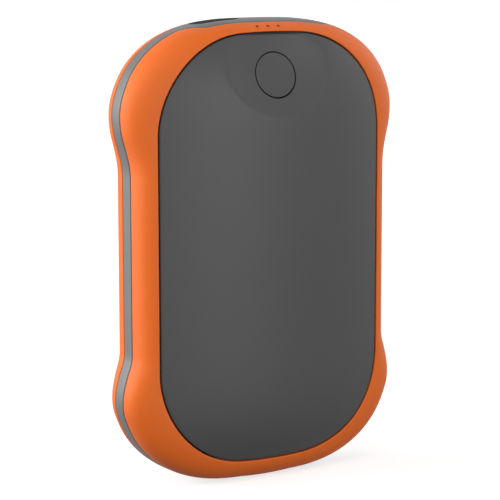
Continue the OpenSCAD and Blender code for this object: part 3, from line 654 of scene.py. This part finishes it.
def blastedAnodised(name, code):
    # aluminium panel, bead-blasted, dyed dark and sealed: a dull grey with a close grain and no clear reflection.
    # The blasted grain is about 0.1 mm, too fine to show, so it is drawn at 0.3 mm; the dye clouds over 40 mm.
    grain = {"beadMm": 0.3, "cloudMm": 40.0, "bumpMm": 0.01, "speck": 0.1, "cloud": 0.03, "roughness": (0.45, 0.57)}
    material, tree, out = freshTree(name)
    place = addNode(tree, "ShaderNodeTexCoord").outputs["Object"]
    bead = addNode(tree, "ShaderNodeTexNoise", {"Vector": place},
                   Scale=perMetre(grain["beadMm"]), Detail=3.0, Roughness=0.65)
    cloud = addNode(tree, "ShaderNodeTexNoise", {"Vector": place}, Scale=perMetre(grain["cloudMm"]), Detail=1.0)
    speck = addNode(tree, "ShaderNodeMapRange", {"Value": bead.outputs["Fac"]},
                    To_Min=1 - grain["speck"], To_Max=1 + grain["speck"])
    slow = addNode(tree, "ShaderNodeMapRange", {"Value": cloud.outputs["Fac"]},
                   To_Min=1 - grain["cloud"], To_Max=1 + grain["cloud"])
    both = addNode(tree, "ShaderNodeMath", {0: speck.outputs["Result"], 1: slow.outputs["Result"]},
                   operation="MULTIPLY")
    dye = addNode(tree, "ShaderNodeVectorMath", {"Scale": both.outputs[0]}, operation="SCALE")
    dye.inputs[0].default_value = linearColor(code)[:3]
    dull = addNode(tree, "ShaderNodeMapRange", {"Value": bead.outputs["Fac"]},
                   To_Min=grain["roughness"][0], To_Max=grain["roughness"][1])
    bump = addNode(tree, "ShaderNodeBump", {"Height": bead.outputs["Fac"]},
                   Strength=0.4, Distance=grain["bumpMm"] * mm)
    skin = addNode(tree, "ShaderNodeBsdfPrincipled",
                   {"Base Color": dye.outputs[0], "Roughness": dull.outputs["Result"],
                    "Normal": bump.outputs["Normal"]},
                   IOR=1.5, Specular_IOR_Level=0.35)
    tree.links.new(skin.outputs[0], out.inputs[0])
    return material


# how far tone and roughness wander over a moulded or plated part, and how deep its grain is
fineGrain = {"tone": 0.05, "roughness": 0.05, "bumpMm": 0.01}


def mouldedPlastic(name, code, roughness, grainMm, metallic=0.0, specular=0.5):
    # plain moulded or plated part: one tone with a fine grain that breaks its gloss a little.
    # Most real grains are under 0.1 mm, too fine to show, so they are drawn at 0.25 to 0.5 mm.
    material, tree, out = freshTree(name)
    place = addNode(tree, "ShaderNodeTexCoord").outputs["Object"]
    grain = addNode(tree, "ShaderNodeTexNoise", {"Vector": place}, Scale=perMetre(grainMm), Detail=3.0, Roughness=0.6)
    tone = addNode(tree, "ShaderNodeMapRange", {"Value": grain.outputs["Fac"]},
                   To_Min=1 - fineGrain["tone"], To_Max=1 + fineGrain["tone"])
    base = addNode(tree, "ShaderNodeVectorMath", {"Scale": tone.outputs["Result"]}, operation="SCALE")
    base.inputs[0].default_value = linearColor(code)[:3]
    dull = addNode(tree, "ShaderNodeMapRange", {"Value": grain.outputs["Fac"]},
                   To_Min=roughness - fineGrain["roughness"], To_Max=roughness + fineGrain["roughness"])
    bump = addNode(tree, "ShaderNodeBump", {"Height": grain.outputs["Fac"]},
                   Strength=0.4, Distance=fineGrain["bumpMm"] * mm)
    skin = addNode(tree, "ShaderNodeBsdfPrincipled",
                   {"Base Color": base.outputs[0], "Roughness": dull.outputs["Result"],
                    "Normal": bump.outputs["Normal"]},
                   IOR=1.5, Metallic=metallic, Specular_IOR_Level=specular)
    tree.links.new(skin.outputs[0], out.inputs[0])
    return material


orange = softTouchElastomer("softTouchElastomer", "#ed7022", "#e7681c")
panelCoat = blastedAnodised("blastedAnodisedAluminium", "#474747")
# ABS from a spark-eroded mould: mid grey with an even, half-dull gloss
bandPlastic = mouldedPlastic("sparkedAbs", "#606060", 0.5, 0.35, specular=0.65)
# silicone, compression moulded: dark and without gloss
coverRubber = mouldedPlastic("siliconeRubber", "#3a3a3c", 0.8, 0.3, specular=0.03)
# polycarbonate, moulded and painted to match the panel: the same grey, a touch smoother
buttonPlastic = mouldedPlastic("paintedPolycarbonate", "#464646", 0.5, 0.3, specular=0.35)


def dress(piece, material, node=None, rider="housing"):
    piece.data.materials.clear()
    piece.data.materials.append(material)
    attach(piece, rider)
    if node:
        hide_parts(node)


dress(frontFrame, orange, "front_bumper")
dress(rearFrame, orange, "rear_bumper")
dress(frontPanel, panelCoat, "front_panel")
dress(rearPanel, panelCoat, "rear_panel")
dress(band, bandPlastic, "mid_frame")
for piece in coverPieces:
    dress(piece, coverRubber, "port_cover", "cover")
dress(buttonDisc, buttonPlastic, "power_button", "button")

# inner parts keep their solids: colour, roughness, grain in mm, metallic, specular, and the nodes that get them
innerFinishes = {
    # nylon filled with glass fibre, moulded: near black, dull and a little rough
    "glassFilledNylon": ("#2a2a2c", 0.6, 0.4, 0.0, 0.5, ("front_chassis", "rear_chassis")),
    # acrylic foam tape, cut to shape: flat and black
    "acrylicTape": ("#1c1c1e", 0.7, 0.5, 0.0, 0.5, ("front_adhesive", "rear_adhesive")),
    # nylon, moulded in a polished mould: black with some gloss
    "switchNylon": ("#1b1b1d", 0.45, 0.3, 0.0, 0.5, ("switch_body", "switch_plunger", "usb_c_tongue")),
    # resist, printed and cured over copper: green, glossy, rippled by the tracks
    "solderResist": ("#1f5b36", 0.35, 0.8, 0.0, 0.5, ("circuit_board",)),
    # nickel, plated on steel or rolled as strip: bright, plain grey metal
    "nickelPlate": ("#b9bbbd", 0.3, 0.25, 1.0, 0.5, ("usb_c_shell", "nickel_strips", "board_screws")),
    # steel, blackened in a hot bath: dark, dull metal
    "blackOxideSteel": ("#2b2b2d", 0.5, 0.3, 1.0, 0.5, ("housing_screws",)),
    # epoxy, moulded round a chip: dark grey and matt
    "epoxyMould": ("#1c1c1e", 0.5, 0.25, 0.0, 0.5, ("charge_controller",)),
    # ferrite, pressed and fired: dark grey, dry
    "ferrite": ("#4a4a4d", 0.55, 0.3, 0.0, 0.5, ("boost_inductor",)),
    # ceramic, fired: tan with a soft gloss
    "ceramic": ("#a98f6a", 0.4, 0.3, 0.0, 0.5, ("board_capacitors", "thermistors", "led_chips")),
    # nylon, moulded without dye: warm off-white
    "ivoryNylon": ("#d8d2c0", 0.5, 0.4, 0.0, 0.5, ("heater_connectors", "upper_cell_bracket", "lower_cell_bracket")),
    # thin sleeve, shrunk on with heat: blue and glossy, with slow waves
    "shrinkSleeve": ("#2f6f9f", 0.3, 1.5, 0.0, 0.5, ("cell_left", "cell_middle", "cell_right")),
    # silicone, extruded over wire: red, soft gloss
    "siliconeWire": ("#b02a22", 0.45, 0.3, 0.0, 0.5, ("battery_leads",)),
    # polyimide, cast as film over the heater's tracks: amber and glossy, faintly uneven
    "polyimideFilm": ("#b8763a", 0.3, 1.2, 0.0, 0.5, ("front_heater", "rear_heater")),
    # foam, skived from a block: grey and fully dull
    "closedCellFoam": ("#55565a", 0.85, 0.5, 0.0, 0.5, ("front_foam", "rear_foam")),
    # polycarbonate, moulded with a smoke dye: nearly black where it isn't lit
    "smokedPolycarbonate": ("#0a0a0c", 0.6, 0.3, 0.0, 0.05, ("light_guide",)),
}
for name, (code, roughness, grainMm, metallic, specular, nodes) in innerFinishes.items():
    finish = mouldedPlastic(name, code, roughness, grainMm, metallic, specular)
    for node in nodes:
        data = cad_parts[node].data
        data.materials.clear()
        data.materials.append(finish)
print("materials made")


# camera and lamps stand at an azimuth from the front, an elevation and a distance from the object's middle
def towards(azimuth, elevation):
    # unit vector out from the object, from angles in degrees
    a, e = math.radians(azimuth), math.radians(elevation)
    return np.array([math.sin(a) * math.cos(e), -math.cos(a) * math.cos(e), math.sin(e)])


def sidesOf(back):
    # the right and up directions of something that has this direction at its back
    right = np.cross([0, 0, 1], back)
    right /= np.linalg.norm(right)
    return right, np.cross(back, right)


def placeFacing(thing, right, up, back, spot):
    # puts it in the scene with its own x, y and z along three directions
    bpy.context.collection.objects.link(thing)
    thing.matrix_world = Matrix([[right[i], up[i], back[i], spot[i] * mm] for i in range(3)] + [[0, 0, 0, 1]])


# angles in degrees and lengths in mm, but the focal length in pixels of the photograph's frame
eye = {
    "azimuth": -31.764, "elevation": 8.973, "roll": -0.079, "distance": 508.0, "shiftX": -0.951, "shiftZ": -0.294,
    "middle": 59.0, "focal": 1966.4, "frame": 500, "sensor": 36.0, "clip": (0.01, 20),
}
objectMiddle = np.array([0, 0, eye["middle"]])
eyeBack = towards(eye["azimuth"], eye["elevation"])
levelRight, levelUp = sidesOf(eyeBack)
roll = math.radians(eye["roll"])
eyeRight = levelRight * math.cos(roll) + levelUp * math.sin(roll)
eyeUp = levelUp * math.cos(roll) - levelRight * math.sin(roll)
eyeSpot = eyeBack * eye["distance"] + eyeRight * eye["shiftX"] + eyeUp * eye["shiftZ"] + objectMiddle
cameraData = bpy.data.cameras.new("camera")
cameraData.sensor_width, cameraData.lens = eye["sensor"], eye["focal"] / eye["frame"] * eye["sensor"]
cameraData.clip_start, cameraData.clip_end = eye["clip"]
camera = bpy.data.objects.new("camera", cameraData)
placeFacing(camera, eyeRight, eyeUp, eyeBack, eyeSpot)
bpy.context.scene.camera = camera
bpy.context.scene.view_settings.view_transform = "Standard"

# floor: "mirrored" is the share of its glow that gloss shows; "lift" is its glow beside the object and far from it,
# between the two "liftReach" distances in metres; "colour" is what bounced light meets, and what the camera sees
floorLook = {"reach": 3000.0, "mirrored": 0.6, "liftReach": (0.12, 0.5), "lift": (0.72, 1.0), "colour": (0.03, 0.5)}
corners = np.array([[-1, -1, 0], [1, -1, 0], [1, 1, 0], [-1, 1, 0]])
floor = makeMesh("floor", corners * floorLook["reach"], np.array([[0, 1, 2, 3]]), smooth=False)
paper, tree, out = freshTree("paleFloor")
ray = addNode(tree, "ShaderNodeLightPath")
gloss = addNode(tree, "ShaderNodeMapRange", {"Value": ray.outputs["Is Glossy Ray"]}, To_Max=floorLook["mirrored"])
seen = addNode(tree, "ShaderNodeMath", {0: ray.outputs["Is Camera Ray"], 1: gloss.outputs["Result"]},
               operation="MAXIMUM")
seen = addNode(tree, "ShaderNodeMath", {0: seen.outputs[0], 1: ray.outputs["Is Transmission Ray"]},
               operation="MAXIMUM")
# the glow makes up what the lamps leave short of white, less near the object, so that its shadow stays
place = addNode(tree, "ShaderNodeTexCoord").outputs["Object"]
away = addNode(tree, "ShaderNodeVectorMath", {0: place}, operation="LENGTH")
lift = addNode(tree, "ShaderNodeMapRange", {"Value": away.outputs["Value"]}, interpolation_type="SMOOTHSTEP",
               From_Min=floorLook["liftReach"][0], From_Max=floorLook["liftReach"][1],
               To_Min=floorLook["lift"][0], To_Max=floorLook["lift"][1])
lift = addNode(tree, "ShaderNodeMath", {0: lift.outputs["Result"], 1: seen.outputs[0]}, operation="MULTIPLY")
# light that bounces to the object meets a dark floor, so that it isn't lit from below
pale = addNode(tree, "ShaderNodeMapRange", {"Value": seen.outputs[0]},
               To_Min=floorLook["colour"][0], To_Max=floorLook["colour"][1])
matte = addNode(tree, "ShaderNodeBsdfDiffuse", {"Color": pale.outputs["Result"]})
glow = addNode(tree, "ShaderNodeEmission", {"Strength": lift.outputs[0]}, Color=(1, 1, 1, 1))
blend = addNode(tree, "ShaderNodeAddShader", {0: matte.outputs[0], 1: glow.outputs[0]})
tree.links.new(blend.outputs[0], out.inputs[0])
floor.data.materials.append(paper)

# world: white where it is seen, directly or in gloss, and a low fill light on the object
studio = {"white": 1.0, "fill": 0.2}
world = bpy.data.worlds.new("studio")
bpy.context.scene.world = world
world.use_nodes = True
tree = world.node_tree
tree.nodes.clear()
out = addNode(tree, "ShaderNodeOutputWorld")
ray = addNode(tree, "ShaderNodeLightPath")
seen = addNode(tree, "ShaderNodeMath", {0: ray.outputs["Is Camera Ray"], 1: ray.outputs["Is Glossy Ray"]},
               operation="MAXIMUM")
seen = addNode(tree, "ShaderNodeMath", {0: seen.outputs[0], 1: ray.outputs["Is Transmission Ray"]},
               operation="MAXIMUM")
fill = addNode(tree, "ShaderNodeBackground", Color=(1, 1, 1, 1), Strength=studio["fill"])
white = addNode(tree, "ShaderNodeBackground", Color=(1, 1, 1, 1), Strength=studio["white"])
blend = addNode(tree, "ShaderNodeMixShader", {0: seen.outputs[0], 1: fill.outputs[0], 2: white.outputs[0]})
tree.links.new(blend.outputs[0], out.inputs[0])

# softboxes: azimuth and elevation of the place seen from the object, distance and size in mm, power in watts
lamps = {
    "edge": (-120.0, 8.0, 1000.0, 800.0, 14.6),
    "front": (10.0, 0.0, 1000.0, 400.0, 6.4),
    "key": (-60.0, 35.0, 1000.0, 800.0, 4.8),
    "right": (90.0, 12.0, 1000.0, 800.0, 3.7),
}
for name, (azimuth, elevation, distance, size, power) in lamps.items():
    lampBack = towards(azimuth, elevation)
    data = bpy.data.lights.new(name, "AREA")
    data.shape, data.size, data.energy = "SQUARE", size * mm, power
    placeFacing(bpy.data.objects.new(name, data), *sidesOf(lampBack), lampBack, objectMiddle + lampBack * distance)
print("camera and light set")
